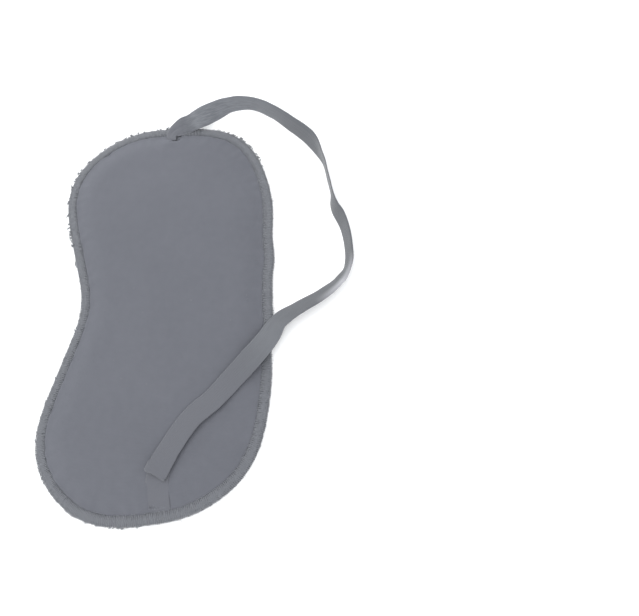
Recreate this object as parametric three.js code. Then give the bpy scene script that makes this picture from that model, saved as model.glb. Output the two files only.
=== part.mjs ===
// Padded sleep mask (blindfold) with an elastic head strap.
// Units: millimetres, +Z up.  The mask lies on its outer face with the wearer's side up.
//   +X  along the long (ear to ear) axis
//   +Y  towards the forehead edge; the nose notch faces -Y
//   origin: middle of the mask's outline, on the plane it rests on
import * as THREE from 'three';

// ---------------------------------------------------------------- dimensions
// Outline in polar form about the notch axis: R(t) = sum C[k] cos(k t), t from the +Y axis.
const OUTLINE_SERIES = [70.35, -14.975, -25.179, 7.82, -1.533, 1.685, 1.107, -1.512, 0.148, -0.169];
const OUTLINE_SHIFT_Y = 13.080;      // brings the middle of the outline to y = 0

const AROUND = 84;                   // steps round the outline
const THREAD_T = 0.25;               // laid thickness of the overlock threads
const RIM_W = 4.2;                   // width of the overlocked rim
const FABRIC_T = 0.6;                // each knitted fabric layer
const LAYER_GAP = 0.15;              // air between stacked layers
const EDGE_IN = 0.55;                // fabric edge, in from the thread that wraps it
const RIM_BOTTOM = 0.15;             // underside of the threads at the rim
const RIM_LIFT = 0.55;               // underside of the outer fabric at the rim
const RIM_TOP = 1.80;                // upper face of the inner fabric at the rim
const PUFF = 2.70;                   // rise of the padding above the rim
const PUFF_RUN = 12.0;               // distance over which the padding rises
const CROWN = 0.60;                  // slow further rise towards the middle
const PAD_EDGE = 6.6;                // edge of the foam, in from the outline

const STRAP_W = 9.5;                 // width of the elastic
const STRAP_T = 0.9;                 // thickness of the elastic
const LAY_GAP = 0.20;                // a piece of elastic lying on the fabric

// Middle line of the elastic between its two folded ends: x, y, height of its lower edge,
// roll in degrees.  roll 0 = lying flat, 90 = standing on its edge with the upper edge
// leaning outwards, below 0 = outer edge lower.
const BAND = [
  [ -85.4,  0.7, 5.35,   0],
  [ -89.6,  2.4, 5.15,   0],
  [ -92.4,  6.8, 4.70,   6],
  [ -94.3, 12.4, 4.25,  16],
  [ -97.5, 21.4, 2.40,  58],
  [-101.8, 30.8, 0.80,  82],
  [-101.6, 40.3, 0.30,  86],
  [ -96.2, 50.3, 0.30,  78],
  [ -86.9, 60.7, 0.30,  70],
  [ -76.2, 70.8, 0.30,  64],
  [ -63.8, 76.3, 0.30,  84],
  [ -54.4, 78.1, 0.30,  84],
  [ -47.0, 79.4, 0.30,  84],
  [ -41.2, 79.8, 0.30,  72],
  [ -37.1, 81.0, 0.30,  68],
  [ -33.1, 83.0, 0.30,  65],
  [ -27.7, 84.7, 0.30,  66],
  [ -17.7, 86.0, 0.30,  65],
  [  -8.9, 85.4, 0.30,  60],
  [  -2.8, 81.5, 0.35,  46],
  [   3.3, 73.4, 0.60,  37],
  [   8.7, 63.4, 1.30,  32],
  [  14.2, 55.0, 2.80,  21],
  [  22.0, 49.6, 4.20,  -2],
  [  30.4, 42.9, 4.75, -12],
  [  38.6, 35.0, 4.85,  -6],
  [  46.7, 26.8, 5.05,   6],
  [  54.9, 18.7, 5.25,  11],
  [  64.8, 11.3, 5.45,   8],
  [  75.3,  4.9, 5.80,  -4],
];
const BAND_STEPS = 66;
const SWING_Y = 8.5;                 // the band swings from here outwards, about a line along X

// Sewn ends of the elastic, flat on the inner fabric: outer end and inner end, x and y.
const TAIL_LOWER = [[88.1, 5.2], [79.5, 5.2]];
const TAIL_UPPER = [[-88.6, 1.0], [-85.4, 1.0]];
const TACK = [1.2, 8.6, 0.35];        // bar of close stitches across each sewn end

// ---------------------------------------------------------------- outline
function outlineAt(t) {
  let r = 0;
  OUTLINE_SERIES.forEach((c, k) => { r += c * Math.cos(k * t); });
  return new THREE.Vector2(r * Math.sin(t), r * Math.cos(t) + OUTLINE_SHIFT_Y);
}
const outlineCurve = new THREE.Curve();
outlineCurve.getPoint = (u, out = new THREE.Vector3()) => {
  const p = outlineAt(2 * Math.PI * u);
  return out.set(p.x, p.y, 0);
};
outlineCurve.arcLengthDivisions = 2400;
const fine = [];
for (let i = 0; i < 1200; i++) { const p = outlineCurve.getPointAt(i / 1200); fine.push([p.x, p.y]); }

function edgeDistance(x, y) {
  let best = 1e9;
  for (let i = 0; i < fine.length; i++) {
    const dx = fine[i][0] - x, dy = fine[i][1] - y;
    const d = dx * dx + dy * dy;
    if (d < best) best = d;
  }
  return Math.sqrt(best);
}
const stations = [];
for (let i = 0; i < AROUND; i++) {
  const u = i / AROUND;
  const p = outlineCurve.getPointAt(u), g = outlineCurve.getTangentAt(u);
  // inward normal of a loop that runs clockwise seen from above
  stations.push({ x: p.x, y: p.y, nx: g.y, ny: -g.x });
}
const inset = (i, d) => {
  const s = stations[((i % AROUND) + AROUND) % AROUND];
  return [s.x + s.nx * d, s.y + s.ny * d];
};

// ---------------------------------------------------------------- layer heights
const smooth = (a) => { const t = Math.min(1, Math.max(0, a)); return t * t * (3 - 2 * t); };
function innerTop(d) {
  const a = Math.min(1, Math.max(0, (d - RIM_W - 0.2) / PUFF_RUN));
  return RIM_TOP + PUFF * Math.pow(Math.sin(a * Math.PI / 2), 0.9) + CROWN * smooth((d - 14) / 26);
}
const outerBottom = (d) => RIM_LIFT * (1 - smooth((d - RIM_W - 0.3) / 1.6));

// ---------------------------------------------------------------- solids
function finish(geometry) {
  geometry.deleteAttribute('normal');
  geometry.deleteAttribute('uv');
  const p = geometry.attributes.position, ix = geometry.index;
  const a = new THREE.Vector3(), b = new THREE.Vector3(), c = new THREE.Vector3();
  let volume = 0;
  for (let i = 0; i < ix.count; i += 3) {
    a.fromBufferAttribute(p, ix.getX(i)); b.fromBufferAttribute(p, ix.getX(i + 1)); c.fromBufferAttribute(p, ix.getX(i + 2));
    volume += a.dot(b.cross(c)) / 6;
  }
  if (volume < 0) {
    for (let i = 0; i < ix.count; i += 3) { const t = ix.getX(i); ix.setX(i, ix.getX(i + 1)); ix.setX(i + 1, t); }
  }
  geometry.computeVertexNormals();
  return geometry;
}

// A layer with the mask's outline: a sphere pressed flat, its rows laid out as rings that
// run from the middle of the upper face over the edge to the middle of the lower face.
const CORE_RING = 22;
function layer(edge, topRings, bottomRings, topZ, bottomZ) {
  const scale = [0, 0.34, 0.68];
  const rows = [];
  for (const k of scale) rows.push([k, CORE_RING, 'top']);
  for (const d of topRings.slice().reverse()) rows.push([1, d, 'top']);
  rows.push([1, edge, 'top']);
  rows.push([1, edge, 'bottom']);
  for (const d of bottomRings) rows.push([1, d, 'bottom']);
  for (const k of scale.slice().reverse()) rows.push([k, CORE_RING, 'bottom']);
  const g = new THREE.SphereGeometry(1, AROUND, rows.length - 1);
  const pos = g.attributes.position;
  rows.forEach(([k, d, face], j) => {
    for (let i = 0; i <= AROUND; i++) {
      const [x0, y0] = inset(i, d);
      const x = k * x0, y = k * y0;
      const e = (k === 1) ? d : edgeDistance(x, y);
      pos.setXYZ(j * (AROUND + 1) + i, x, y, face === 'top' ? topZ(e) : bottomZ(e));
    }
  });
  return finish(g);
}

// A ring that follows the outline: section points are [distance in from the edge, height].
function rimRing(section) {
  const g = new THREE.TorusGeometry(10, 2, section.length, AROUND);
  const pos = g.attributes.position;
  for (let j = 0; j <= section.length; j++) {
    const [d, z] = section[j % section.length];
    for (let i = 0; i <= AROUND; i++) {
      const [x, y] = inset(i, d);
      pos.setXYZ(j * (AROUND + 1) + i, x, y, z);
    }
  }
  return finish(g);
}

// A strip of elastic: a long box bent so that each cross-section sits in one of the frames.
function strip(frames, across) {
  const steps = frames.length - 1;
  const g = new THREE.BoxGeometry(1, 1, 1, steps, across, 1);
  const pos = g.attributes.position;
  for (let i = 0; i < pos.count; i++) {
    const f = frames[Math.round((pos.getX(i) + 0.5) * steps)];
    const q = f.c.clone().addScaledVector(f.wide, pos.getY(i) * STRAP_W).addScaledVector(f.thick, pos.getZ(i) * STRAP_T);
    pos.setXYZ(i, q.x, q.y, q.z);
  }
  return finish(g);
}

const bandLine = new THREE.CatmullRomCurve3(BAND.map(([x, y, z, r]) =>
  new THREE.Vector3(x, y, z + STRAP_T * 0.5 + 0.5 * (STRAP_W - STRAP_T) * Math.abs(Math.sin(r * Math.PI / 180)))), false, 'centripetal');
bandLine.arcLengthDivisions = 1000;
function bandFrame(s) {
  const u = bandLine.getUtoTmapping(s);
  const c = bandLine.getPoint(u);
  const g = bandLine.getTangent(u);
  // roll read at the same place along the list of points
  const k = u * (BAND.length - 1), k0 = Math.min(BAND.length - 2, Math.floor(k)), f = smooth(k - k0);
  const roll = (BAND[k0][3] * (1 - f) + BAND[k0 + 1][3] * f) * Math.PI / 180;
  const level = new THREE.Vector3(-g.y, g.x, 0).normalize();      // left of travel = outwards
  const wide = level.multiplyScalar(Math.cos(roll)).add(new THREE.Vector3(0, 0, Math.sin(roll)));
  wide.addScaledVector(g, -wide.dot(g)).normalize();
  const thick = new THREE.Vector3().crossVectors(g, wide).normalize();
  return { c, wide, thick };
}
// where the swinging band begins and ends: its whole section is past the swing line
const pastSwing = (s) => {
  const f = bandFrame(s);
  return f.c.y - 0.5 * STRAP_W * Math.abs(f.wide.y) - 0.5 * STRAP_T * Math.abs(f.thick.y) > SWING_Y + 0.4;
};
let swingStart = 0, swingEnd = 1;
while (!pastSwing(swingStart)) swingStart += 0.001;
while (!pastSwing(swingEnd)) swingEnd -= 0.001;
const PARTING = 0.30 / bandLine.getLength();
function bandFrames(from, to, steps) {
  const out = [];
  for (let i = 0; i <= steps; i++) out.push(bandFrame(from + (to - from) * i / steps));
  return out;
}

// frames along a list of middle points, each with the direction that the width takes
function framesAlong(points) {
  return points.map(([c, wide], i) => {
    const g = points[Math.min(i + 1, points.length - 1)][0].clone().sub(points[Math.max(i - 1, 0)][0]).normalize();
    const w = wide.clone().addScaledVector(g, -wide.dot(g)).normalize();
    return { c, wide: w, thick: new THREE.Vector3().crossVectors(g, w).normalize() };
  });
}
const onFabric = (x, y) => new THREE.Vector3(x, y, innerTop(edgeDistance(x, y)) + LAY_GAP + STRAP_T / 2);

// upper end: in from the seam, a turn up and back, and out over itself
function upperTail() {
  const [[x0, y0], [x1, y1]] = TAIL_UPPER;
  const flat = new THREE.Vector3(0, -1, 0), first = bandFrame(0);
  const points = [];
  for (let i = 0; i <= 3; i++) points.push([onFabric(x0 + (x1 - x0) * i / 3, y0 + (y1 - y0) * i / 3), flat]);
  const a = points[points.length - 1][0], r = (first.c.z - a.z) / 2;
  for (let i = 1; i < 8; i++) {
    const t = i / 8, q = a.clone().lerp(first.c, t);
    q.x += Math.sin(Math.PI * t) * r;
    q.z = a.z + r * (1 - Math.cos(Math.PI * t));
    points.push([q, flat.clone().lerp(first.wide, t).normalize()]);
  }
  for (const f of bandFrames(0, swingStart - PARTING, 8)) points.push([f.c, f.wide]);
  return framesAlong(points);
}

// lower end: from the swing line over the padding and down to the seam
function lowerTail() {
  const [[x0, y0], [x1, y1]] = TAIL_LOWER;
  const flat = new THREE.Vector3(0, 1, 0);
  const points = bandFrames(swingEnd + PARTING, 1, 9).map((f) => [f.c, f.wide]);
  const last = bandFrame(1), a = onFabric(x1, y1);
  for (const t of [0.3, 0.6]) {
    const q = last.c.clone().lerp(a, t);
    q.z = last.c.z + (a.z - last.c.z) * smooth(t);
    points.push([q, last.wide.clone().lerp(flat, t).normalize()]);
  }
  for (let i = 0; i <= 5; i++) points.push([onFabric(x1 + (x0 - x1) * i / 5, y1 + (y0 - y1) * i / 5), flat]);
  return framesAlong(points);
}

function tack([a, b]) {
  const A = new THREE.Vector2(...a), B = new THREE.Vector2(...b);
  const dir = B.clone().sub(A).normalize();
  const g = new THREE.BoxGeometry(TACK[0], TACK[1], TACK[2], 2, 4, 1);
  const pos = g.attributes.position;
  for (let i = 0; i < pos.count; i++) {
    const s = pos.getX(i) + TACK[0] / 2 + 0.3, w = pos.getY(i), t = pos.getZ(i) + TACK[2] / 2;
    const mid = onFabric(A.x + dir.x * s, A.y + dir.y * s);
    pos.setXYZ(i, mid.x - dir.y * w, mid.y + dir.x * w, mid.z + STRAP_T / 2 + LAYER_GAP + t);
  }
  return finish(g);
}

// ---------------------------------------------------------------- materials and nodes
const group = new THREE.Group();
group.name = 'sleep_mask';
function node(name, geometry, color, roughness) {
  const mesh = new THREE.Mesh(geometry, new THREE.MeshStandardMaterial({ color, roughness, metalness: 0 }));
  mesh.name = name;
  group.add(mesh);
  return mesh;
}

// fabric that faces out when worn, and the table here
node('outer_panel', layer(EDGE_IN, [RIM_W + 0.3, 6.1, CORE_RING], [RIM_W + 0.3, 6.1, CORE_RING],
  (d) => outerBottom(d) + FABRIC_T, outerBottom), 0x74777e, 0.92);
// fabric that faces the wearer
node('inner_panel', layer(EDGE_IN, [RIM_W + 0.2, 6, 8, 10.5, 13.5, 17, CORE_RING], [RIM_W + 0.2, 6, 8, 10.5, 13.5, 17, CORE_RING],
  innerTop, (d) => innerTop(d) - FABRIC_T), 0x787b82, 0.92);
// foam between them
node('padding_core', layer(PAD_EDGE, [8, 10.5, 13.5, 17, CORE_RING], [CORE_RING],
  (d) => innerTop(d) - FABRIC_T - LAYER_GAP, () => FABRIC_T + LAYER_GAP), 0xd8d6cf, 0.95);

// overlock seam: one thread laid over the upper face and round the edge, one under the
// lower face, and the needle thread along the inner side of the rim
const TOP = RIM_TOP + LAYER_GAP, TOP2 = TOP + THREAD_T;
node('overlock_upper_looper', rimRing([[0, RIM_LIFT], [0, TOP2], [RIM_W, TOP2], [RIM_W, TOP], [0.35, TOP], [0.35, RIM_LIFT]]), 0x8d9097, 0.85);
node('overlock_lower_looper', rimRing([[0, RIM_BOTTOM], [0, RIM_BOTTOM + THREAD_T], [RIM_W, RIM_BOTTOM + THREAD_T], [RIM_W, RIM_BOTTOM]]), 0x8d9097, 0.85);
node('overlock_needle_thread', rimRing([[RIM_W + 0.15, TOP], [RIM_W + 0.15, TOP + 0.3], [RIM_W + 0.45, TOP + 0.36], [RIM_W + 0.45, TOP + 0.06]]), 0x84878e, 0.85);

// elastic: free length, and the two sewn ends with their stitched bars
node('strap_band', strip(bandFrames(swingStart, swingEnd, BAND_STEPS), 2), 0x7f858a, 0.8);
node('strap_tail_lower', strip(lowerTail(), 4), 0x7f858a, 0.8);
node('strap_tail_upper', strip(upperTail(), 4), 0x7f858a, 0.8);
node('bartack_lower', tack(TAIL_LOWER), 0x8d9097, 0.85);
node('bartack_upper', tack(TAIL_UPPER), 0x8d9097, 0.85);

export default group;
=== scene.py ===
import math

import bpy
import numpy as np
from mathutils import Matrix, Vector, noise


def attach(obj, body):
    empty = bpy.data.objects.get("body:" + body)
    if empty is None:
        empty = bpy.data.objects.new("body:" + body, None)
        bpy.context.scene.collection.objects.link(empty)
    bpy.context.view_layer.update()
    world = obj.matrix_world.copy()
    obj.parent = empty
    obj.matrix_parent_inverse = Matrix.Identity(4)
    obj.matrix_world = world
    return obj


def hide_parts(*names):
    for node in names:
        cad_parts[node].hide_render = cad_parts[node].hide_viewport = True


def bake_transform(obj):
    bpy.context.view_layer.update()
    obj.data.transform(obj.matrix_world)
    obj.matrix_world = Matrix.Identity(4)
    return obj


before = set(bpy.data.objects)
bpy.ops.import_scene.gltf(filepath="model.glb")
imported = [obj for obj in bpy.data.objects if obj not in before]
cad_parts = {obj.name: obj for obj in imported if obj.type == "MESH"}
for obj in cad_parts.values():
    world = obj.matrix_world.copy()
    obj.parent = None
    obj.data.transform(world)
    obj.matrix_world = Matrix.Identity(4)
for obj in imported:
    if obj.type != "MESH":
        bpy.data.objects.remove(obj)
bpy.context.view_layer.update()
MM = 0.001
rng = np.random.default_rng(20261118)


# ------------------------------------------------------------------ small helpers
def smooth(a):
    t = np.clip(a, 0.0, 1.0)
    return t * t * (3 - 2 * t)


def unit(v):
    v = np.asarray(v, float)
    return v / np.maximum(np.linalg.norm(v, axis=-1, keepdims=True), 1e-12)


def new_object(name, verts_mm, faces, smooth_faces=True, uv=None):
    mesh = bpy.data.meshes.new(name)
    mesh.from_pydata((np.asarray(verts_mm, float) * MM).tolist(), [], [tuple(int(i) for i in f) for f in faces])
    mesh.validate()
    if smooth_faces:
        mesh.polygons.foreach_set("use_smooth", [True] * len(mesh.polygons))
    if uv is not None:
        layer = mesh.uv_layers.new(name="UVMap")
        loops = np.zeros(len(mesh.loops), np.int32)
        mesh.loops.foreach_get("vertex_index", loops)
        layer.data.foreach_set("uv", np.asarray(uv, np.float32)[loops].ravel())
    mesh.update()
    obj = bpy.data.objects.new(name, mesh)
    bpy.context.scene.collection.objects.link(obj)
    return obj


# ------------------------------------------------------------------ camera
FOCAL, PITCH, ROLL, HEIGHT = 560.0, math.radians(68.6492), math.radians(-22.0790), 225.614
CAM_X, CAM_Y, TURN, MID_LIFT = 92.026, 100.547, math.radians(19.0230), 1.1
to_row = np.array([[-math.sin(TURN), -math.cos(TURN), 0], [math.cos(TURN), -math.sin(TURN), 0], [0, 0, 1.0]])
fw = to_row @ np.array([0, math.cos(PITCH), -math.sin(PITCH)])
up0 = to_row @ np.array([0, math.sin(PITCH), math.cos(PITCH)])
rt0 = to_row @ np.array([1.0, 0, 0])
cam_right = math.cos(ROLL) * rt0 + math.sin(ROLL) * up0
cam_up = -math.sin(ROLL) * rt0 + math.cos(ROLL) * up0
cam_data = bpy.data.cameras.new("camera")
cam_data.sensor_fit = "HORIZONTAL"
cam_data.sensor_width = 36.0
cam_data.lens = 36.0 * FOCAL / 639.0
cam_data.clip_start = 0.005
cam_data.clip_end = 20.0
camera = bpy.data.objects.new("camera", cam_data)
bpy.context.scene.collection.objects.link(camera)
m = Matrix.Identity(4)
for i in range(3):
    m[i][0], m[i][1], m[i][2] = cam_right[i], cam_up[i], -fw[i]
m[0][3], m[1][3], m[2][3] = CAM_X * MM, CAM_Y * MM, (HEIGHT + MID_LIFT) * MM
camera.matrix_world = m
bpy.context.scene.camera = camera

# ------------------------------------------------------------------ the outline
SERIES = [70.35, -14.975, -25.179, 7.82, -1.533, 1.685, 1.107, -1.512, 0.148, -0.169]
SHIFT_Y = 13.080
RIM_W, FABRIC_T, RIM_LIFT, RIM_TOP = 4.2, 0.6, 0.55, 1.80
PUFF, PUFF_RUN, CROWN = 2.70, 12.0, 0.60
AROUND = 480


# a hand-cut, hand-sewn edge isn't quite the pattern's line: slow waves of up to a millimetre
WAVE_COS = [-0.105, 0.096, -0.019, -0.013, 0.104, 0.075, -0.039, -0.103, 0.019, 0.097, 0.049, -0.281, 0.195, 0.015, -0.007, 0.135]
WAVE_SIN = [-0.067, -0.126, -0.176, 0.16, 0.078, -0.117, 0.033, 0.12, -0.029, -0.008, 0.003, 0.018, 0.084, -0.025, -0.11, -0.019]


def pattern(t):
    r = sum(c * np.cos(k * t) for k, c in enumerate(SERIES))
    return np.stack([r * np.sin(t), r * np.cos(t) + SHIFT_Y], -1)


def outline(t):
    p = pattern(t)
    g = unit(pattern(t + 1e-3) - pattern(t - 1e-3))
    wave = -0.049 + sum(a * np.cos((k + 1) * t) + b * np.sin((k + 1) * t) for k, (a, b) in enumerate(zip(WAVE_COS, WAVE_SIN)))
    wave = 1.1 * np.tanh(np.asarray(wave) / 1.1)
    return p + np.stack([-g[..., 1], g[..., 0]], -1) * wave[..., None]


_t = np.linspace(0, 2 * math.pi, 6001)
_p = outline(_t)
_s = np.concatenate([[0], np.cumsum(np.linalg.norm(np.diff(_p, axis=0), axis=1))])
PERIMETER = _s[-1]


def at_arc(s):
    """Point, tangent and inward normal at arc length s, in mm, clockwise seen from above."""
    s = np.asarray(s, float) % PERIMETER
    t = np.interp(s, _s, _t)
    p = outline(t)
    g = unit(outline(t + 1e-3) - outline(t - 1e-3))
    return p, g, np.stack([g[..., 1], -g[..., 0]], -1)


fine = _p[:-1:4]


def edge_distance(xy):
    xy = np.asarray(xy, float).reshape(-1, 2)
    out = np.empty(len(xy))
    for i in range(0, len(xy), 2000):
        d = xy[i:i + 2000, None, :] - fine[None]
        out[i:i + 2000] = np.sqrt((d * d).sum(2).min(1))
    return out


def inner_top(d):
    a = np.clip((d - RIM_W - 0.2) / PUFF_RUN, 0, 1)
    return RIM_TOP + PUFF * np.power(np.sin(a * math.pi / 2), 0.9) + CROWN * smooth((d - 14) / 26)


def outer_bottom(d):
    return RIM_LIFT * (1 - smooth((d - RIM_W - 0.3) / 1.6))


# where the sewn ends of the elastic pass under the overlock, which rises over them
TAILS = [(94.4, 5.6), (-94.6, 1.6)]
TAIL_FROM = [77.0, 84.2]


def tail_bump(xy):
    xy = np.asarray(xy, float)
    out = np.zeros(xy.shape[:-1])
    for x, y in TAILS:
        out = np.maximum(out, (1 - smooth((np.abs(xy[..., 1] - y) - 4.2) / 1.8)) * (np.sign(x) * xy[..., 0] > 60))
    return out


def tail_press(xy, d):
    """How far the sewn ends have pressed themselves into the padding."""
    xy = np.asarray(xy, float).reshape(-1, 2)
    out = np.zeros(len(xy))
    for (x, y), start in zip(TAILS, TAIL_FROM):
        middle = y + (xy[:, 0] - 94) * 0.05 if x > 0 else y
        half = 3.8 if x > 0 else 3.8 - 2.4 * smooth((xy[:, 0] + 92) / 6.0)
        across = 1 - smooth((np.abs(xy[:, 1] - middle) - half) / 1.0)
        reach = smooth((np.sign(x) * xy[:, 0] - start) / (3.0 if x > 0 else 1.5))
        depth = 0.16 + 0.22 * smooth((d - 4.2) / 2.5) + (0.0 if x > 0 else 0.55 * smooth((d - 5.4) / 2.2))
        out = np.maximum(out, across * reach * depth)
    return out


# ------------------------------------------------------------------ way of the elastic
# x, y, height of the lower edge, roll (0 flat, 90 on edge, below 0 outer edge lower)
STRAP_W, STRAP_T = 9.5, 0.75
BAND = [(-94.3, 12.4, 4.25, 16), (-97.5, 21.4, 2.4, 58), (-101.8, 30.8, 0.8, 82), (-101.6, 40.3, 0.3, 86), (-96.2, 50.3, 0.3, 78),
        (-86.9, 60.7, 0.3, 70), (-76.2, 70.8, 0.3, 64), (-63.8, 76.3, 0.3, 84), (-54.4, 78.1, 0.3, 84), (-47.0, 79.4, 0.3, 84),
        (-41.2, 79.8, 0.3, 72), (-37.1, 81.0, 0.3, 68), (-33.1, 83.0, 0.3, 65), (-27.7, 84.7, 0.3, 66), (-17.7, 86.0, 0.3, 65),
        (-8.9, 85.4, 0.3, 60), (-2.8, 81.5, 0.35, 46), (3.3, 73.4, 0.6, 37), (8.7, 63.4, 1.3, 32), (14.2, 55.0, 2.8, 21),
        (22.0, 49.6, 4.2, -2), (30.4, 42.9, 4.75, -12), (38.6, 35.0, 4.85, -6), (46.8, 27.0, 5.1, 3), (53.8, 18.4, 5.25, 4),
        (64.3, 10.7, 5.35, 2), (75.4, 4.7, 5.45, -11)]
# gathered upper end, from the fold outwards: left edge and right edge of each section
GATHER = [((-87.3, -2.5, 3.25), (-86.3, 2.05, 3.28)), ((-89.1, -2.9, 3.16), (-88.0, 2.20, 3.14)), ((-91.3, -3.1, 3.14), (-89.2, 3.10, 3.02)),
          ((-93.1, -1.7, 3.55), (-90.6, 5.80, 2.95)), ((-94.7, 0.90, 4.15), (-91.5, 9.30, 2.85)), ((-96.0, 5.20, 5.20), (-91.3, 12.3, 3.50))]


def band_points():
    c, roll = [], []
    for x, y, z, r in BAND:
        c.append([x, y, z + STRAP_T / 2 + 0.5 * (STRAP_W - STRAP_T) * abs(math.sin(math.radians(r)))])
        roll.append(r)
    c = np.array(c)
    # centripetal spline through the points, as the CAD band follows
    n = len(c)
    ext = np.vstack([2 * c[0] - c[1], c, 2 * c[-1] - c[-2]])
    out, rr = [], []
    for i in range(n - 1):
        p0, p1, p2, p3 = ext[i:i + 4]
        t0 = 0.0
        t1 = t0 + np.linalg.norm(p1 - p0) ** 0.5
        t2 = t1 + np.linalg.norm(p2 - p1) ** 0.5
        t3 = t2 + np.linalg.norm(p3 - p2) ** 0.5
        per = 14
        for f in np.arange(per) / per:
            t = t1 + (t2 - t1) * f
            a1 = (t1 - t) / (t1 - t0) * p0 + (t - t0) / (t1 - t0) * p1
            a2 = (t2 - t) / (t2 - t1) * p1 + (t - t1) / (t2 - t1) * p2
            a3 = (t3 - t) / (t3 - t2) * p2 + (t - t2) / (t3 - t2) * p3
            b1 = (t2 - t) / (t2 - t0) * a1 + (t - t0) / (t2 - t0) * a2
            b2 = (t3 - t) / (t3 - t1) * a2 + (t - t1) / (t3 - t1) * a3
            out.append((t2 - t) / (t2 - t1) * b1 + (t - t1) / (t2 - t1) * b2)
            rr.append(roll[i] + (roll[i + 1] - roll[i]) * float(smooth(f)))
    out.append(c[-1])
    rr.append(roll[-1])
    c, r = np.array(out), np.radians(rr)
    g = np.gradient(c, axis=0)
    g = unit(g)
    level = unit(np.column_stack([-g[:, 1], g[:, 0], np.zeros(len(g))]))
    wide = level * np.cos(r)[:, None] + np.array([0, 0, 1.0]) * np.sin(r)[:, None]
    wide = unit(wide - g * (wide * g).sum(1)[:, None])
    return c, wide


bc, bw = band_points()


def strap_ceiling(xy):
    """Highest that the fabric may stand under the elastic, and how strongly that holds."""
    xy = np.asarray(xy, float).reshape(-1, 2)
    over = (edge_distance(bc[:, :2]) > 7) & (bc[:, 0] > 20) & (bc[:, 1] < 48)
    c, w = bc[over], bw[over]
    d = xy[:, None, :] - c[None, :, :2]
    k = (d * d).sum(2).argmin(1)
    lat = (d[np.arange(len(xy)), k] * w[k, :2]).sum(1) / np.maximum((w[k, :2] ** 2).sum(1), 1e-6)
    side = np.clip(lat, -STRAP_W / 2, STRAP_W / 2)
    far = np.sqrt((d[np.arange(len(xy)), k] ** 2).sum(1))
    # the outer edge of the elastic stands a little clear of the face, the inner edge lies in it
    z = c[k, 2] + w[k, 2] * side - STRAP_T / 2 - 0.12 - 0.16 * smooth((side - 0.5) / 4.5)
    beyond = np.maximum(0, far - STRAP_W / 2)
    return z + np.where(lat > 0, 0.045, 0.10) * beyond ** 2 + np.where(lat < 0, 0.50, 0.24) * smooth(beyond / 1.4), beyond < 7


# soft, uneven surface of the padded face
pucker_phase = rng.uniform(0, 2 * math.pi, 6)
pucker_wave = [4.7, 6.1, 7.9, 10.7, 15.3, 23.0]
pucker_amp = [0.05, 0.06, 0.07, 0.07, 0.08, 0.09]


def pucker(s, d):
    k = np.zeros(np.broadcast(s, d).shape)
    for ph, w, a in zip(pucker_phase, pucker_wave, pucker_amp):
        n = max(1, round(PERIMETER / w))
        k = k + a * np.sin(2 * math.pi * n * s / PERIMETER + ph)
    fall = np.where(d < RIM_W, 0.35, np.exp(-np.maximum(0, d - RIM_W - 1.5) / 4.0))
    return k * fall


def lumps(xy, seed, scale, amount):
    off = 17.3 * seed
    return np.array([amount * noise.noise(Vector((x / scale + off, y / scale - off, off))) for x, y in np.asarray(xy).reshape(-1, 2)])


def rings(face, near, core=22.0, steps=20):
    """Rows of points from the edge to the middle: [(x, y, distance, arc)]."""
    s = np.arange(AROUND) * PERIMETER / AROUND
    p, g, n = at_arc(s)
    rows = []
    for d in near:
        rows.append((p + n * d, np.full(AROUND, float(d)), s))
    base = p + n * core
    for k in np.linspace(1, 0, steps + 1)[1:-1]:
        xy = base * k
        rows.append((xy, edge_distance(xy), s))
    return rows


def panel(name, top_rows, bottom_rows, top_z, bottom_z):
    """A closed layer of cloth: top rows and bottom rows from the edge inwards, joined at the edge."""
    verts, faces = [], []

    def add(rows, zf):
        start = []
        for xy, d, s in rows:
            start.append(len(verts))
            z = zf(xy, d, s)
            verts.extend(np.column_stack([xy, z]).tolist())
        c = np.zeros((1, 2))
        cz = zf(c, edge_distance(c), np.zeros(1))
        start.append(len(verts))
        verts.append([0.0, 0.0, float(cz[0])])
        return start

    a = add(top_rows, top_z)
    b = add(bottom_rows, bottom_z)
    n = AROUND
    nxt = [(i + 1) % n for i in range(n)]
    for j in range(len(a) - 2):
        for i in range(n):
            faces.append((a[j] + i, a[j] + nxt[i], a[j + 1] + nxt[i], a[j + 1] + i))
    for i in range(n):
        faces.append((a[-2] + i, a[-2] + nxt[i], a[-1]))
    for j in range(len(b) - 2):
        for i in range(n):
            faces.append((b[j] + i, b[j + 1] + i, b[j + 1] + nxt[i], b[j] + nxt[i]))
    for i in range(n):
        faces.append((b[-2] + i, b[-1], b[-2] + nxt[i]))
    for i in range(n):
        faces.append((a[0] + i, b[0] + i, b[0] + nxt[i], a[0] + nxt[i]))
    # the outline runs clockwise seen from above, so turn the faces to point out
    faces = [f[::-1] for f in faces]
    return new_object(name, np.array(verts), faces)


# ------------------------------------------------------------------ fabric layers and foam
near_top = [0.5, 0.9, 1.4, 2.0, 2.6, 3.2, 3.7, 4.1, 4.4, 4.7, 5.1, 5.6, 6.2, 6.9, 7.7, 8.6, 9.6, 10.7, 11.9, 13.2, 14.6, 16.0, 17.5, 19.0, 20.5, 22.0]
near_low = [0.5, 1.2, 2.2, 3.2, 4.2, 4.5, 4.9, 5.4, 6.1, 7.5, 10, 14, 18, 22.0]


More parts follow.
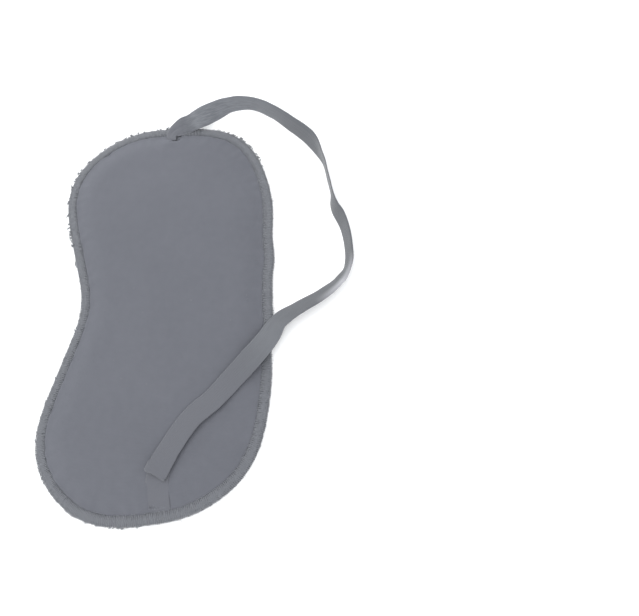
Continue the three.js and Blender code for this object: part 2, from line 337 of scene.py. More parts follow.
def face_height(xy, d, s):
    z = inner_top(d)
    z = z + 0.27 * np.exp(-((d - 4.80) / 0.62) ** 2)          # the needle line pulls the layers together
    z = z + 0.08 * np.exp(-((d - 5.8) / 1.0) ** 2)
    z = z + pucker(s, d) * smooth((d - 0.5) / 2)
    z = z + smooth((d - 5) / 8) * (lumps(xy, 1, 34.0, 0.45) + lumps(xy, 2, 13.0, 0.14))
    z = z - tail_press(xy, d)
    z = z + 0.80 * np.exp(-((xy[:, 0] + 84.3) / 2.3) ** 2 - ((xy[:, 1] - 0.2) / 3.8) ** 2)   # swells in front of the fold
    ceiling, near = strap_ceiling(xy)
    return np.where(near & (z > ceiling), ceiling, z)


top_rows = rings("top", near_top)
inner = panel("inner_fabric", top_rows, rings("top", near_low, steps=8), face_height,
              lambda xy, d, s: np.minimum(face_height(xy, d, s) - 0.5, inner_top(d) - 0.5))
outer = panel("outer_fabric", rings("low", near_low, steps=8), rings("low", near_top, steps=14),
              lambda xy, d, s: outer_bottom(d) + 0.5,
              lambda xy, d, s: outer_bottom(d) + 0.02 + 0.25 * np.abs(pucker(s, d)) * smooth((d - 5.5) / 2) * np.exp(-np.maximum(0, d - 8) / 3))
foam_near = [6.8, 7.2, 8, 9.5, 11.5, 14, 18, 22.0]
foam = panel("foam_pad", rings("f", foam_near, steps=8), rings("f", [6.8, 7.2, 9, 14, 22.0], steps=6),
             lambda xy, d, s: np.where(d < 7.0, 1.1, face_height(xy, d, s) - 0.75),
             lambda xy, d, s: np.where(d < 7.0, 0.95, 0.75))

# ------------------------------------------------------------------ threads
def tube(points, radius, sides=6, closed=False, verts=None, faces=None, scale=None):
    p = np.asarray(points, float)
    n = len(p)
    if closed:
        g = unit(np.roll(p, -1, 0) - np.roll(p, 1, 0))
    else:
        g = np.empty_like(p)
        g[1:-1] = p[2:] - p[:-2]
        g[0], g[-1] = p[1] - p[0], p[-1] - p[-2]
        g = unit(g)
    ref = np.array([0.0, 0.0, 1.0]) if abs(g[0, 2]) < 0.9 else np.array([1.0, 0, 0])
    u = np.empty_like(p)
    v = unit(np.cross(g[0], ref))
    for i in range(n):
        v = v - g[i] * (v @ g[i])
        v = v / max(np.linalg.norm(v), 1e-9)
        u[i] = v
    w = np.cross(g, u)
    a = np.arange(sides) * 2 * math.pi / sides
    r = (radius if scale is None else radius * np.asarray(scale))
    r = np.broadcast_to(r, (n,))
    ring = p[:, None, :] + r[:, None, None] * (np.cos(a)[None, :, None] * u[:, None, :] + np.sin(a)[None, :, None] * w[:, None, :])
    base = len(verts)
    verts.extend(ring.reshape(-1, 3).tolist())
    last = n if closed else n - 1
    for i in range(last):
        j = (i + 1) % n
        for k in range(sides):
            k2 = (k + 1) % sides
            faces.append((base + i * sides + k, base + i * sides + k2, base + j * sides + k2, base + j * sides + k))
    if not closed:
        faces.append(tuple(base + k for k in reversed(range(sides))))
        faces.append(tuple(base + (n - 1) * sides + k for k in range(sides)))


PITCH_MM = 0.80
STITCHES = int(round(PERIMETER / PITCH_MM))
STEP = PERIMETER / STITCHES
wobble = rng.normal(0, 1, (STITCHES, 6))


def catmull(p, closed, per):
    p = np.asarray(p, float)
    n = len(p)
    out = []
    m = n if closed else n - 1
    for i in range(m):
        if closed:
            q = [p[(i + k) % n] for k in (-1, 0, 1, 2)]
        else:
            q = [p[max(0, i - 1)], p[i], p[i + 1], p[min(n - 1, i + 2)]]
        for t in np.arange(per) / per:
            out.append(0.5 * ((2 * q[1]) + (-q[0] + q[2]) * t + (2 * q[0] - 5 * q[1] + 4 * q[2] - q[3]) * t * t
                              + (-q[0] + 3 * q[1] - 3 * q[2] + q[3]) * t ** 3))
    if not closed:
        out.append(p[-1])
    return np.array(out)


def rim_point(s, d, z):
    p, g, n = at_arc(s)
    return np.array([p[0] + n[0] * d, p[1] + n[1] * d, z])


def looper(name, top):
    pts = []
    for i in range(STITCHES):
        s0 = i * STEP + (0 if top else 0.5 * STEP)
        a = wobble[i] * np.array([0.10, 0.16, 0.09, 0.05, 0.10, 0.12])
        edge_xy = at_arc(s0)[0]
        lift = 0.16 * float(tail_bump(edge_xy)) if top else 0.0
        z = (RIM_TOP + 0.16 + lift) if top else (RIM_LIFT - 0.06)
        q = 1 if top else -1
        pts += [
            rim_point(s0 + a[0], 4.42 + a[1], z - q * 0.02),
            rim_point(s0 + 0.16 * STEP + 0.6 * a[4], 3.0, z + q * (0.05 + 0.15 * abs(a[5]))),
            rim_point(s0 + 0.34 * STEP - 0.5 * a[4], 1.3 + a[2], z + q * (0.05 + 0.15 * abs(a[0]))),
            rim_point(s0 + 0.46 * STEP, 0.22, z - q * 0.10),
            rim_point(s0 + 0.52 * STEP + a[3], -0.02 + 0.6 * a[4] + 0.16 * math.sin(s0 * 2.3) * math.sin(s0 * 0.83 + 1), (RIM_TOP + RIM_LIFT) / 2 + q * 0.15 + 0.5 * lift),
            rim_point(s0 + 0.60 * STEP, 0.24, z - q * 0.08),
            rim_point(s0 + 0.74 * STEP, 1.5 + a[5], z + q * 0.07),
            rim_point(s0 + 0.90 * STEP, 3.1, z + q * 0.06),
        ]
    line = catmull(pts, True, 2)
    verts, faces = [], []
    fat = 1 + 0.12 * np.sin(np.arange(len(line)) * 2.1) + 0.10 * rng.normal(0, 1, len(line))
    tube(line, 0.25, 6, True, verts, faces, fat)
    return new_object(name, np.array(verts), faces)


upper_looper = looper("overlock_upper_thread", True)
lower_looper = looper("overlock_lower_thread", False)

pts = []
for i in range(STITCHES):
    s0 = i * STEP
    xy = at_arc(s0)[0]
    lift = 0.16 * float(tail_bump(xy))
    z = RIM_TOP + lift
    pts += [rim_point(s0, 4.56, z - 0.10), rim_point(s0 + 0.2 * STEP, 4.53 + 0.02 * wobble[i, 0], z + 0.15),
            rim_point(s0 + 0.5 * STEP, 4.53, z + 0.22), rim_point(s0 + 0.8 * STEP, 4.54, z + 0.14)]
verts, faces = [], []
tube(catmull(pts, True, 2), 0.12, 6, True, verts, faces)
needle = new_object("overlock_needle_stitches", np.array(verts), faces)

# stray fibres of the fluffy overlock thread
verts, faces = [], []
for i in range(1500):
    s0 = rng.uniform(0, PERIMETER)
    tuft = 1.0 + 1.2 * max(0.0, math.sin(s0 * 0.11 + 1.0)) ** 6
    length = rng.gamma(2.2, 0.23) * tuft
    d0, z0 = rng.uniform(-0.1, 2.0), rng.uniform(0.7, 2.15)
    out = rng.uniform(-0.2, 1.0) if d0 > 0.5 else rng.uniform(0.5, 1.0)
    along = rng.normal(0, 0.8)
    rise = rng.uniform(-0.25, 0.45)
    curl = rng.normal(0, 0.5)
    q = []
    for k in np.linspace(0, 1, 6):
        q.append(rim_point(s0 + length * (along * k + curl * k * k), d0 - length * out * k + 0.25 * length * curl * k * k,
                           max(0.12, z0 + length * (rise * k - 0.25 * k * k))))
    tube(q, 0.038, 4, False, verts, faces, np.linspace(1, 0.5, 6))
# tufts where the fluffy thread has worn: each a few fibres that fan out from one root
for i in range(360):
    at, reach = rng.uniform(0, PERIMETER), 0.22 + rng.gamma(2.0, 0.17)
    here = at_arc(at)[0]
    if here[1] > 4 and here[0] > -66:       # the forehead edge has stayed neat
        continue
    z0, lean = rng.uniform(0.8, 1.8), rng.normal(0, 0.6)
    if here[0] < -30:                       # and this end has worn most
        reach, z0 = 1.5 * reach + 0.35, z0 + 0.6
    for j in range(7):
        fan, length = rng.normal(0, 0.22), reach * rng.uniform(0.6, 1.0)
        q = [rim_point(at + 0.5 * fan + length * (lean + 1.2 * fan) * k, 0.35 - (0.35 + length) * k, max(0.3, z0 + 0.5 * fan - 0.3 * length * k * k))
             for k in np.linspace(0, 1, 4)]
        tube(q, 0.14, 5, False, verts, faces, [1.0, 1.0, 0.8, 0.4])
KNOT = np.array([-81.6, 36.4, 1.45])
# longer loose ends, mostly round the upper end and the lower corner, and one knotted end
for i in range(110):
    at = rng.normal(*[(0.78, 0.06), (0.30, 0.05), (0.5, 0.3)][i % 3]) * PERIMETER
    length, rise, curl = rng.uniform(0.7, 2.1), rng.uniform(-0.1, 0.2), rng.normal(0, 0.8)
    q = [rim_point(at + length * (0.5 * k + curl * k * k), 0.6 - length * 0.95 * k, max(0.14, 1.3 + length * (rise * k - 0.2 * k * k)))
         for k in np.linspace(0, 1, 7)]
    tube(q, 0.048, 4, False, verts, faces, np.linspace(1, 0.5, 7))
for k in range(26):
    a = rng.uniform(0, 2 * math.pi, 2)
    q = [KNOT + 0.55 * np.array([math.cos(a[0] + 2.4 * f) * math.cos(a[1] * 0.3 + f), math.sin(a[0] + 2.4 * f), 0.7 * math.sin(a[1] + 2 * f)]) * (1 + 0.35 * f)
         for f in np.linspace(0, 1, 9)]
    tube(q, 0.10, 5, False, verts, faces)
fuzz = new_object("overlock_stray_fibres", np.array(verts), faces)

# ------------------------------------------------------------------ elastic strap
def surface_z(x, y):
    d = edge_distance([[x, y]])
    return float(face_height(np.array([[x, y]]), d, np.zeros(1))[0]) if d[0] > 5 else float(inner_top(d)[0])


END_T = 0.34                  # the sewn ends are pressed flat under the seam
line, wide, thick, width = [], [], [], []


def add(p, w, t, across_mm=STRAP_W):
    line.append(list(p))
    wide.append(np.asarray(w, float))
    thick.append(t)
    width.append(across_mm)


# upper sewn end: from under the overlock, in over the padding, a tight fold, and back out over
# itself, gathered to less than half its width where it is caught down
gl, gr = np.array([g[0] for g in GATHER]), np.array([g[1] for g in GATHER])
flat = np.array([0.0, -1.0, 0.0])
fold_c, fold_w = (gl[0] + gr[0]) / 2, float(np.linalg.norm(gl[0] - gr[0]))
for x in np.linspace(-93.5, -85.9, 22):
    y = 1.6 + (fold_c[1] - 1.6) * float(smooth((x + 91) / 5.5))
    f = float(smooth((x + 92) / 6.0))
    d = float(edge_distance([[x, y]])[0])
    press = float(tail_press([[x, y]], d)[0])
    add([x, y, max(inner_top(d), RIM_TOP) - press + 0.06 + END_T / 2], flat, END_T, STRAP_W + (fold_w - STRAP_W) * f)
a0 = np.array(line[-1])
r0 = (fold_c[2] - a0[2]) / 2
for f in np.linspace(0, 1, 12)[1:-1]:
    q = a0 * (1 - f) + fold_c * f
    q[0] += math.sin(math.pi * f) * max(r0, 0.2) * 1.2
    q[2] = a0[2] + r0 * (1 - math.cos(math.pi * f))
    add(q, unit((1 - f) * flat + f * unit(gl[0] - gr[0])), END_T + 0.05 * f, fold_w)
el = catmull(np.vstack([gl, bc[0] + bw[0] * STRAP_W / 2]), False, 8)[:-1]
er = catmull(np.vstack([gr, bc[0] - bw[0] * STRAP_W / 2]), False, 8)[:-1]
for k, (l, r) in enumerate(zip(el, er)):
    w = min(float(np.linalg.norm(l - r)), STRAP_W)
    add((l + r) / 2, unit(l - r), 0.48 + (STRAP_T - 0.48) * float(smooth(k / 24)), w)
for q, w in zip(bc, bw):
    add(q, w, STRAP_T)
# lower sewn end: the band is pleated once, under and out again, and runs to the seam
end, g_end, w_end = bc[-1], unit(bc[-1] - bc[-2]), bw[-1]
w_tail = np.array([0.0, 1.0, 0.0])
zt = surface_z(76.0, 4.9) + 0.06 + 0.20
r1 = (end[2] - zt) / 4
for k in range(1, 4):
    thick[-k] = STRAP_T - 0.05 * (4 - k)
for a in np.linspace(0, math.pi, 14)[1:]:
    q = end + g_end * math.sin(a) * r1 * 1.2
    q[2] = end[2] - r1 * (1 - math.cos(a))
    add(q, w_end, 0.62 - 0.05 * a)
turn, back = np.array(line[-1]), 4.2
for f in np.linspace(0, 1, 8)[1:]:
    add(turn - unit(np.array([1.0, -0.25, 0])) * back * f, unit((1 - 0.5 * f) * w_end + 0.5 * f * w_tail), 0.46)
turn = np.array(line[-1])
for a in np.linspace(0, math.pi, 14)[1:]:
    q = turn + np.array([-1.0, 0, 0]) * math.sin(a) * r1 * 1.2
    q[2] = turn[2] - r1 * (1 - math.cos(a))
    f = 0.5 + 0.5 * a / math.pi
    add(q, unit((1 - f) * w_end + f * w_tail), 0.46)
turn = np.array(line[-1])
for x in np.linspace(turn[0] + 0.6, 93.4, 36):
    f = float(smooth((x - turn[0]) / 8))
    y = turn[1] * (1 - f) + (4.7 + (x - 75) * 0.05) * f
    t = 0.46 + (END_T - 0.46) * f
    d = float(edge_distance([[x, y]])[0])
    z = max(inner_top(d), RIM_TOP) - float(tail_press([[x, y]], d)[0]) + 0.06 + t / 2
    z = max(turn[2] * (1 - f) + z * f, z) if x < turn[0] + 8 else z
    add([x, y, z], w_tail, t)
line, wide, thick, width = np.array(line), unit(np.array(wide)), np.array(thick), np.array(width)

# even out the steps along the strap: every 0.55 mm, keeping the tight folds
s = np.concatenate([[0], np.cumsum(np.linalg.norm(np.diff(line, axis=0), axis=1))])
STRAP_LENGTH = float(s[-1])
tight = np.concatenate([[0], np.linalg.norm(np.diff(unit(np.gradient(line, axis=0)), axis=0), axis=1)])
stations = [0.0]
while stations[-1] < s[-1] - 0.3:
    bend = np.interp(stations[-1], s, tight / np.maximum(np.gradient(s), 1e-6))
    stations.append(stations[-1] + float(np.clip(0.16 / max(bend, 1e-6), 0.14, 0.6)))
stations[-1] = s[-1]
stations = np.array(stations)
C = np.column_stack([np.interp(stations, s, line[:, k]) for k in range(3)])
for _ in range(2):
    C[1:-1] = 0.25 * C[:-2] + 0.5 * C[1:-1] + 0.25 * C[2:]
W = unit(np.column_stack([np.interp(stations, s, wide[:, k]) for k in range(3)]))
THICK = np.interp(stations, s, thick)
WIDTH = np.interp(stations, s, width)
for _ in range(3):
    W[1:-1] = unit(0.25 * W[:-2] + 0.5 * W[1:-1] + 0.25 * W[2:])
G = unit(np.gradient(C, axis=0))
W = unit(W - G * (W * G).sum(1)[:, None])
T = np.cross(G, W)

RIBS = 11
ACROSS = 45
GATHER_FROM = float(stations[int(np.argmin(np.linalg.norm(C - (el[2] + er[2]) / 2, axis=1)))])
across = np.linspace(-1, 1, ACROSS)


def strap_section(k):
    """Offsets (across, through) in mm of one station's closed section, ribs on both faces."""
    s0 = stations[k]
    edge = 0.10 * math.sin(s0 * 5.1) * math.sin(s0 * 0.7 + 1) + 0.05 * math.sin(s0 * 11.3)
    w = across * (WIDTH[k] / 2 + edge * 0.6)
    # cloth gathered to less than its width stands in small lengthwise folds
    spare = max(0.0, 1 - WIDTH[k] / STRAP_W)
    swell = float(smooth((s0 - GATHER_FROM) / 7.0))
    pleats = (0.62 * spare * np.cos(across * 7.4 + 0.6 + 0.12 * s0) + 0.24 * spare * np.cos(across * 15.1 + 2.0)) * swell
    body = np.sqrt(np.clip(1 - np.abs(across) ** 6, 0, 1))
    # the ribs are pressed flat towards the sewn ends
    free = float(smooth((s0 - 14) / 14) * smooth((STRAP_LENGTH - 20 - s0) / 10))
    rib = (0.012 + 0.043 * free) * np.abs(np.cos(math.pi * RIBS * (across + 1) / 2))
    crimp = (0.006 + 0.014 * free) * np.sin(s0 * 2 * math.pi / 1.1 + np.round(RIBS * (across + 1) / 2) * math.pi)
    half_t = (THICK[k] / 2 - 0.06) * body
    top = half_t + (rib + crimp) * body
    low = -(half_t + (rib - crimp) * body)
    return np.concatenate([w, w[-2:0:-1]]), np.concatenate([top + pleats, (low + pleats)[-2:0:-1]])


verts, uvs = [], []
ring_n = 2 * ACROSS - 2
for k in range(len(stations)):
    a, b = strap_section(k)
    verts.extend((C[k] + a[:, None] * W[k] + b[:, None] * T[k]).tolist())
    uvs.extend(np.column_stack([np.full(ring_n, stations[k] * MM), a * MM]).tolist())
faces = []
for k in range(len(stations) - 1):
    for j in range(ring_n):
        j2 = (j + 1) % ring_n
        faces.append((k * ring_n + j, k * ring_n + j2, (k + 1) * ring_n + j2, (k + 1) * ring_n + j))
faces.append(tuple(reversed(range(ring_n))))
faces.append(tuple((len(stations) - 1) * ring_n + j for j in range(ring_n)))
faces = [f[::-1] for f in faces]
strap = new_object("elastic_strap", np.array(verts), faces, uv=np.array(uvs))


# ------------------------------------------------------------------ bars of stitches over the sewn ends
def bar(name, x0, y0, sign):
    pts, n = [], 17
    for i in range(n):
        y = y0 - 4.2 + 8.4 * i / (n - 1)
        for k, x in enumerate((x0 - 0.75, x0, x0 + 0.75) if i % 2 == 0 else (x0 + 0.75, x0, x0 - 0.75)):
            d = float(edge_distance([[x, y]])[0])
            z = inner_top(d) - float(tail_press([[x, y]], d)[0]) + 0.06 + END_T + (0.0 if k == 1 else -0.14)
            pts.append([x, y + (0.17 * k), z])
    verts, faces = [], []
    tube(catmull(pts, False, 3), 0.075, 6, False, verts, faces)
    return new_object(name, np.array(verts), faces)


bar_low = bar("bartack_stitches_lower", 88.0, 5.5, 1)
bar_up = bar("bartack_stitches_upper", -88.6, 1.8, -1)

# lint caught on the fabric
verts, faces = [], []
for i in range(26):
    t = rng.uniform(0, 2 * math.pi)
    k = math.sqrt(rng.uniform(0, 1)) * 0.82
    x, y = outline(np.array(t)) * k
    d = edge_distance([[x, y]])
    z = float(face_height(np.array([[x, y]]), d, np.zeros(1))[0])
    a, L = rng.uniform(0, 2 * math.pi), rng.uniform(0.35, 1.2)
    c = rng.normal(0, 0.7)
    q = [[x + L * (math.cos(a) * f + c * math.sin(a) * f * f), y + L * (math.sin(a) * f - c * math.cos(a) * f * f), z + 0.05 + 0.12 * math.sin(f * 3.1)] for f in np.linspace(0, 1, 6)]
    tube(q, 0.028, 4, False, verts, faces)
lint = new_object("lint_fibres", np.array(verts), faces)


# ------------------------------------------------------------------ materials
def material(name):
    mat = bpy.data.materials.new(name)
    mat.use_nodes = True
    nt = mat.node_tree
    return mat, nt, nt.nodes["Principled BSDF"]


def node(nt, kind, **inputs):
    n = nt.nodes.new(kind)
    for key, value in inputs.items():
        if key in ("operation", "blend_type", "data_type", "wave_type", "bands_direction", "wave_profile", "feature", "interpolation_type"):
            setattr(n, key, value)
    return n


def ramp(nt, a, b, lo=0.0, hi=1.0):
    r = nt.nodes.new("ShaderNodeValToRGB")
    r.color_ramp.elements[0].position, r.color_ramp.elements[1].position = lo, hi
    r.color_ramp.elements[0].color = (*a, 1)
    r.color_ramp.elements[1].color = (*b, 1)
    return r


def math_node(nt, op, a, b=None, clamp=False):
    n = nt.nodes.new("ShaderNodeMath")
    n.operation = op
    n.use_clamp = clamp
    for i, v in enumerate((a, b)):
        if v is None:
            continue
        if isinstance(v, (int, float)):
            n.inputs[i].default_value = v
        else:
            nt.links.new(v, n.inputs[i])
    return n.outputs[0]


def noise_node(nt, vector, scale, detail=3.0, rough=0.5):
    n = nt.nodes.new("ShaderNodeTexNoise")
    n.inputs["Scale"].default_value = scale
    n.inputs["Detail"].default_value = detail
    n.inputs["Roughness"].default_value = rough
    nt.links.new(vector, n.inputs["Vector"])
    return n.outputs["Fac"]


def wave_node(nt, vector, scale, direction, distortion=0.0):
    n = nt.nodes.new("ShaderNodeTexWave")
    n.wave_type = "BANDS"
    n.bands_direction = direction
    n.inputs["Scale"].default_value = scale
    n.inputs["Distortion"].default_value = distortion
    n.inputs["Detail"].default_value = 1.0
    n.inputs["Detail Scale"].default_value = 1.5
    nt.links.new(vector, n.inputs["Vector"])
    return n.outputs["Fac"]


def cloth_material(name, dark, light, knit=0.55, sheen=0.35):
    """Fine warp-knit cloth: columns of small loops, a soft nap, and uneven dye."""
    mat, nt, bsdf = material(name)
    co = nt.nodes.new("ShaderNodeTexCoord").outputs["Object"]
    # one wave period is 2*pi / (20 * scale) of a metre in Blender's wave texture
    cols = wave_node(nt, co, 2 * math.pi / 20 / (knit * MM), "X", 0.6)
    rows_ = wave_node(nt, co, 2 * math.pi / 20 / (knit * 0.8 * MM), "Y", 0.6)
    loops = math_node(nt, "MULTIPLY", cols, rows_)
    nap = noise_node(nt, co, 2600.0, 3.0, 0.6)
    mott = noise_node(nt, co, 260.0, 4.0, 0.55)
    broad = noise_node(nt, co, 38.0, 2.0, 0.5)
    mix = math_node(nt, "ADD", math_node(nt, "MULTIPLY", mott, 0.45), math_node(nt, "MULTIPLY", broad, 0.25))
    mix = math_node(nt, "ADD", mix, math_node(nt, "MULTIPLY", loops, 0.14))
    mix = math_node(nt, "ADD", mix, math_node(nt, "MULTIPLY", nap, 0.16))
    r = ramp(nt, dark, light, 0.28, 0.72)
    nt.links.new(mix, r.inputs["Fac"])
    nt.links.new(r.outputs["Color"], bsdf.inputs["Base Color"])
    rough = math_node(nt, "ADD", math_node(nt, "MULTIPLY", mott, 0.18), 0.78, True)
    nt.links.new(rough, bsdf.inputs["Roughness"])
    bump = nt.nodes.new("ShaderNodeBump")
    bump.inputs["Strength"].default_value = 0.55
    bump.inputs["Distance"].default_value = 0.00012
    height = math_node(nt, "ADD", math_node(nt, "MULTIPLY", loops, 0.7), math_node(nt, "MULTIPLY", nap, 0.6))
    nt.links.new(height, bump.inputs["Height"])
    nt.links.new(bump.outputs["Normal"], bsdf.inputs["Normal"])
    bsdf.inputs["Sheen Weight"].default_value = sheen
    bsdf.inputs["Sheen Roughness"].default_value = 0.6
    bsdf.inputs["Sheen Tint"].default_value = (0.75, 0.78, 0.85, 1)
    bsdf.inputs["Specular IOR Level"].default_value = 0.2
    return mat


def thread_material(name, dark, light, twist=0.5):
    """Textured polyester thread: a fluffy, slightly shiny bundle of filaments."""
    mat, nt, bsdf = material(name)
    co = nt.nodes.new("ShaderNodeTexCoord").outputs["Object"]
    fil = noise_node(nt, co, 5200.0, 3.0, 0.6)
    mott = noise_node(nt, co, 420.0, 3.0, 0.5)
    mix = math_node(nt, "ADD", math_node(nt, "MULTIPLY", fil, 0.5), math_node(nt, "MULTIPLY", mott, 0.5))
    r = ramp(nt, dark, light, 0.3, 0.72)
    nt.links.new(mix, r.inputs["Fac"])
    nt.links.new(r.outputs["Color"], bsdf.inputs["Base Color"])
    nt.links.new(math_node(nt, "ADD", math_node(nt, "MULTIPLY", fil, 0.25), 0.6, True), bsdf.inputs["Roughness"])
    bump = nt.nodes.new("ShaderNodeBump")
    bump.inputs["Strength"].default_value = 0.6
    bump.inputs["Distance"].default_value = 0.00008
    nt.links.new(fil, bump.inputs["Height"])
    nt.links.new(bump.outputs["Normal"], bsdf.inputs["Normal"])
    bsdf.inputs["Sheen Weight"].default_value = 0.5
    bsdf.inputs["Sheen Roughness"].default_value = 0.5
    bsdf.inputs["Specular IOR Level"].default_value = 0.25
    return mat


# share of the length from the upper seam, and how pale the elastic is there
TONE = [(0.0, 0.60), (1.0, 0.60), (0.05, 0.66), (0.10, 0.90), (0.15, 1.00), (0.20, 0.84), (0.25, 0.60), (0.32, 0.55), (0.42, 0.51), (0.50, 0.48), (0.60, 0.54), (0.68, 0.72), (0.74, 0.60), (0.90, 0.56)]
# how much of the elastic's own colour shows: the ends have taken up the tone of the cloth
OWN = [(0.0, 0.0), (1.0, 0.0), (0.045, 0.1), (0.09, 1.0), (0.68, 1.0), (0.76, 0.22), (0.90, 0.12), (0.925, 0.0)]
PAINTED_HIGHLIGHT_SHARE = 0.553             # place of the sharp turn, where the outer half gets a painted highlight


def elastic_material(name, dark, light):
    """Braided elastic: lengthwise ribs with small slanted stitches on each, and darker grooves."""
    mat, nt, bsdf = material(name)
    uv = nt.nodes.new("ShaderNodeUVMap")
    uv.uv_map = "UVMap"
    sep = nt.nodes.new("ShaderNodeSeparateXYZ")
    nt.links.new(uv.outputs["UV"], sep.inputs["Vector"])
    pitch = 9.5 * MM / 11
    v = math_node(nt, "ADD", math_node(nt, "DIVIDE", sep.outputs["Y"], pitch), 0.5)
    saw = math_node(nt, "PINGPONG", v, 0.5)
    groove = math_node(nt, "MULTIPLY", saw, 2.0, True)
    # slanted stitches: along plus a share of across, turning the other way on each next rib
    tri = math_node(nt, "PINGPONG", v, 1.0)
    along = math_node(nt, "DIVIDE", sep.outputs["X"], 0.62 * MM)
    chev = math_node(nt, "FRACT", math_node(nt, "ADD", along, math_node(nt, "MULTIPLY", tri, 0.8)))
    st = math_node(nt, "MULTIPLY", math_node(nt, "PINGPONG", chev, 0.5), 2.0)
    comb = nt.nodes.new("ShaderNodeCombineXYZ")
    nt.links.new(sep.outputs["X"], comb.inputs["X"])
    nt.links.new(math_node(nt, "MULTIPLY", sep.outputs["Y"], 3.0), comb.inputs["Y"])
    fil = noise_node(nt, comb.outputs["Vector"], 1500.0, 3.0, 0.55)
    streak_v = nt.nodes.new("ShaderNodeCombineXYZ")
    nt.links.new(math_node(nt, "MULTIPLY", sep.outputs["X"], 0.12), streak_v.inputs["X"])
    nt.links.new(sep.outputs["Y"], streak_v.inputs["Y"])
    streak = noise_node(nt, streak_v.outputs["Vector"], 900.0, 2.0, 0.5)
    mix = math_node(nt, "ADD", math_node(nt, "MULTIPLY", groove, 0.26), math_node(nt, "MULTIPLY", st, 0.16))
    mix = math_node(nt, "ADD", mix, math_node(nt, "MULTIPLY", fil, 0.22))
    # painted highlight: near the gathered end single lengthwise yarns are painted pale where they catch the light
    yarn_glint_fade = math_node(nt, "SUBTRACT", 1.0, math_node(nt, "DIVIDE", sep.outputs["X"], 0.24 * STRAP_LENGTH * MM), True)
    yarn_v = nt.nodes.new("ShaderNodeCombineXYZ")
    nt.links.new(math_node(nt, "MULTIPLY", sep.outputs["X"], 0.16), yarn_v.inputs["X"])
    nt.links.new(math_node(nt, "ADD", sep.outputs["Y"], math_node(nt, "MULTIPLY", sep.outputs["X"], 0.06)), yarn_v.inputs["Y"])
    yarn = noise_node(nt, yarn_v.outputs["Vector"], 1300.0, 2.0, 0.6)
    yarns = math_node(nt, "MULTIPLY", math_node(nt, "SUBTRACT", yarn, 0.55), math_node(nt, "MULTIPLY", yarn_glint_fade, 3.2))
    mix = math_node(nt, "ADD", mix, math_node(nt, "ADD", math_node(nt, "MULTIPLY", streak, 0.36), yarns))
    r = ramp(nt, dark, light, 0.22, 0.78)
    nt.links.new(mix, r.inputs["Fac"])
    # the elastic's colour is scaled along its length, paler on some stretches than at the sewn ends
    tone = nt.nodes.new("ShaderNodeValToRGB")
    els = tone.color_ramp.elements
    for k, (at, v) in enumerate(TONE):
        e = els[k] if k < 2 else els.new(at)
        e.position = at
        e.color = (v, v, v, 1)
    nt.links.new(math_node(nt, "DIVIDE", sep.outputs["X"], STRAP_LENGTH * MM), tone.inputs["Fac"])
    mul = nt.nodes.new("ShaderNodeMix")
    mul.data_type = "RGBA"
    mul.blend_type = "MULTIPLY"
    mul.inputs["Factor"].default_value = 1.0
    nt.links.new(r.outputs["Color"], mul.inputs["A"])
    nt.links.new(tone.outputs["Color"], mul.inputs["B"])
    share = math_node(nt, "DIVIDE", sep.outputs["X"], STRAP_LENGTH * MM)
    # painted highlight: at the sharp turn the outer half of the elastic is mixed towards a pale grey, standing in
    # for the light the bend catches
    away = math_node(nt, "DIVIDE", math_node(nt, "ABSOLUTE", math_node(nt, "SUBTRACT", share, PAINTED_HIGHLIGHT_SHARE)), 0.045)
    near = math_node(nt, "SUBTRACT", 1.0, away, True)
    outer_half = math_node(nt, "ADD", math_node(nt, "DIVIDE", sep.outputs["Y"], 3.2 * MM), 0.1, True)
    painted_highlight_mix = nt.nodes.new("ShaderNodeMix")
    painted_highlight_mix.data_type = "RGBA"
    nt.links.new(math_node(nt, "MULTIPLY", near, outer_half), painted_highlight_mix.inputs["Factor"])
    nt.links.new(mul.outputs["Result"], painted_highlight_mix.inputs["A"])
    painted_highlight_mix.inputs["B"].default_value = (0.33, 0.33, 0.35, 1)
    own = nt.nodes.new("ShaderNodeValToRGB")
    els = own.color_ramp.elements
    for k, (at, v) in enumerate(OWN):
        e = els[k] if k < 2 else els.new(at)
        e.position = at
        e.color = (v, v, v, 1)
    nt.links.new(share, own.inputs["Fac"])
    cloth = nt.nodes.new("ShaderNodeMix")
    cloth.data_type = "RGBA"
    nt.links.new(own.outputs["Color"], cloth.inputs["Factor"])
    cloth.inputs["A"].default_value = (*CLOTH_TONE, 1)
    nt.links.new(painted_highlight_mix.outputs["Result"], cloth.inputs["B"])
    nt.links.new(cloth.outputs["Result"], bsdf.inputs["Base Color"])
    nt.links.new(math_node(nt, "ADD", math_node(nt, "MULTIPLY", fil, 0.25), 0.5, True), bsdf.inputs["Roughness"])
    bump = nt.nodes.new("ShaderNodeBump")
    bump.inputs["Strength"].default_value = 0.5
    bump.inputs["Distance"].default_value = 0.0001
    nt.links.new(math_node(nt, "ADD", st, math_node(nt, "MULTIPLY", fil, 0.7)), bump.inputs["Height"])
    nt.links.new(bump.outputs["Normal"], bsdf.inputs["Normal"])
    bsdf.inputs["Sheen Weight"].default_value = 0.25
    bsdf.inputs["Sheen Roughness"].default_value = 0.45
    bsdf.inputs["Specular IOR Level"].default_value = 0.35
    return mat


CLOTH_TONE = (0.0935, 0.0962, 0.1110)
inner_mat = cloth_material("inner_knit", (0.0891, 0.0920, 0.1063), (0.1071, 0.1099, 0.1262), 0.55, 0.2)
outer_mat = cloth_material("outer_knit", (0.0861, 0.0883, 0.1027), (0.1034, 0.1055, 0.1218), 0.55, 0.2)
foam_mat = cloth_material("foam_cells", (0.4500, 0.4320, 0.3870), (0.6480, 0.6300, 0.5760), 0.8, 0.0)
thread_mat = thread_material("overlock_thread", (0.1050, 0.1096, 0.1224), (0.1328, 0.1387, 0.1540))
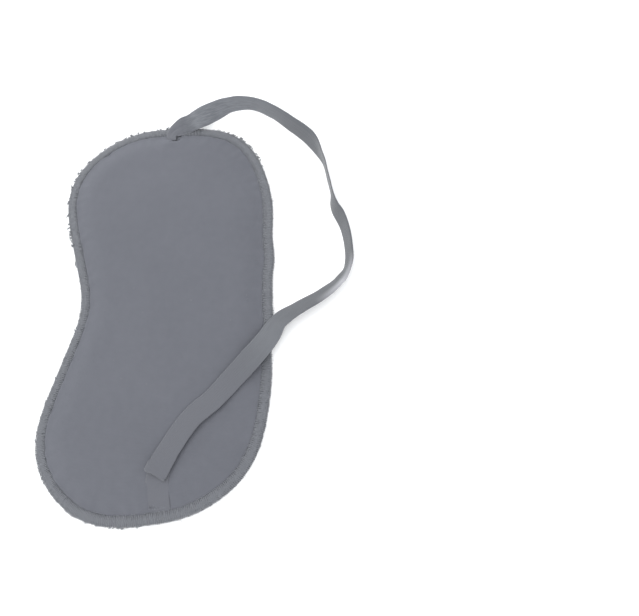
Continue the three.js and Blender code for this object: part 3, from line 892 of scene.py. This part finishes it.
# painted light: the needle thread, whose material the bar tacks share, is coloured paler than the overlock thread to
# lift the shade in the groove along the needle line
needle_mat = thread_material("needle_thread", (0.1192, 0.1247, 0.1429), (0.1521, 0.1585, 0.1786))
fibre_mat = thread_material("stray_fibre", (0.105, 0.110, 0.120), (0.190, 0.197, 0.212))
elastic_mat = elastic_material("braided_elastic", (0.1267, 0.1337, 0.1481), (0.1861, 0.1941, 0.2128))

for obj, mat in ((inner, inner_mat), (outer, outer_mat), (foam, foam_mat), (upper_looper, thread_mat), (lower_looper, thread_mat),
                 (needle, needle_mat), (fuzz, fibre_mat), (lint, fibre_mat), (strap, elastic_mat), (bar_low, needle_mat), (bar_up, needle_mat)):
    obj.data.materials.append(mat)

# ------------------------------------------------------------------ what rides on what
for obj in (inner, outer, foam, upper_looper, lower_looper, needle, fuzz, lint, bar_low, bar_up):
    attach(obj, "mask")
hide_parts("inner_panel")
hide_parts("outer_panel")
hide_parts("padding_core")
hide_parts("overlock_upper_looper")
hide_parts("overlock_lower_looper")
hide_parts("overlock_needle_thread")
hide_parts("bartack_lower")
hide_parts("bartack_upper")
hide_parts("strap_band", "strap_tail_lower", "strap_tail_upper")
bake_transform(strap)

# ------------------------------------------------------------------ floor and light
floor_mesh = bpy.data.meshes.new("floor")
floor_mesh.from_pydata([(-3, -3, 0), (3, -3, 0), (3, 3, 0), (-3, 3, 0)], [], [(0, 1, 2, 3)])
floor = bpy.data.objects.new("floor", floor_mesh)
bpy.context.scene.collection.objects.link(floor)
fmat, fnt, fb = material("floor_white")
fb.inputs["Base Color"].default_value = (0.90, 0.90, 0.90, 1)
fb.inputs["Roughness"].default_value = 0.95
fb.inputs["Specular IOR Level"].default_value = 0.05
fb.inputs["Emission Color"].default_value = (1, 1, 1, 1)
fb.inputs["Emission Strength"].default_value = 0.11
floor.data.materials.append(fmat)

world = bpy.data.worlds.new("world")
bpy.context.scene.world = world
world.use_nodes = True
world.node_tree.nodes["Background"].inputs["Color"].default_value = (0.97, 0.985, 1.0, 1)
world.node_tree.nodes["Background"].inputs["Strength"].default_value = 1.68


def area_light(name, at, to, size, power, colour=(1, 1, 1)):
    data = bpy.data.lights.new(name, "AREA")
    data.shape = "DISK"
    data.size = size
    data.energy = power
    data.color = colour
    obj = bpy.data.objects.new(name, data)
    bpy.context.scene.collection.objects.link(obj)
    obj.location = at
    obj.rotation_euler = (Vector(to) - Vector(at)).to_track_quat("-Z", "Y").to_euler()
    return obj


# the picture's up-left, in the row frame: light falls from behind the far, notch-side corner
side = unit(-cam_right * 0.75 + cam_up * 0.65)
key_at = (side[0] * 0.75, side[1] * 0.75, 0.95)
area_light("key", key_at, (0, 0.02, 0), 0.8, 1.5)

bpy.context.scene.view_settings.view_transform = "Standard"
bpy.context.scene.view_settings.look = "None"
bpy.context.scene.view_settings.exposure = 0.0
bpy.context.scene.view_settings.gamma = 1.0
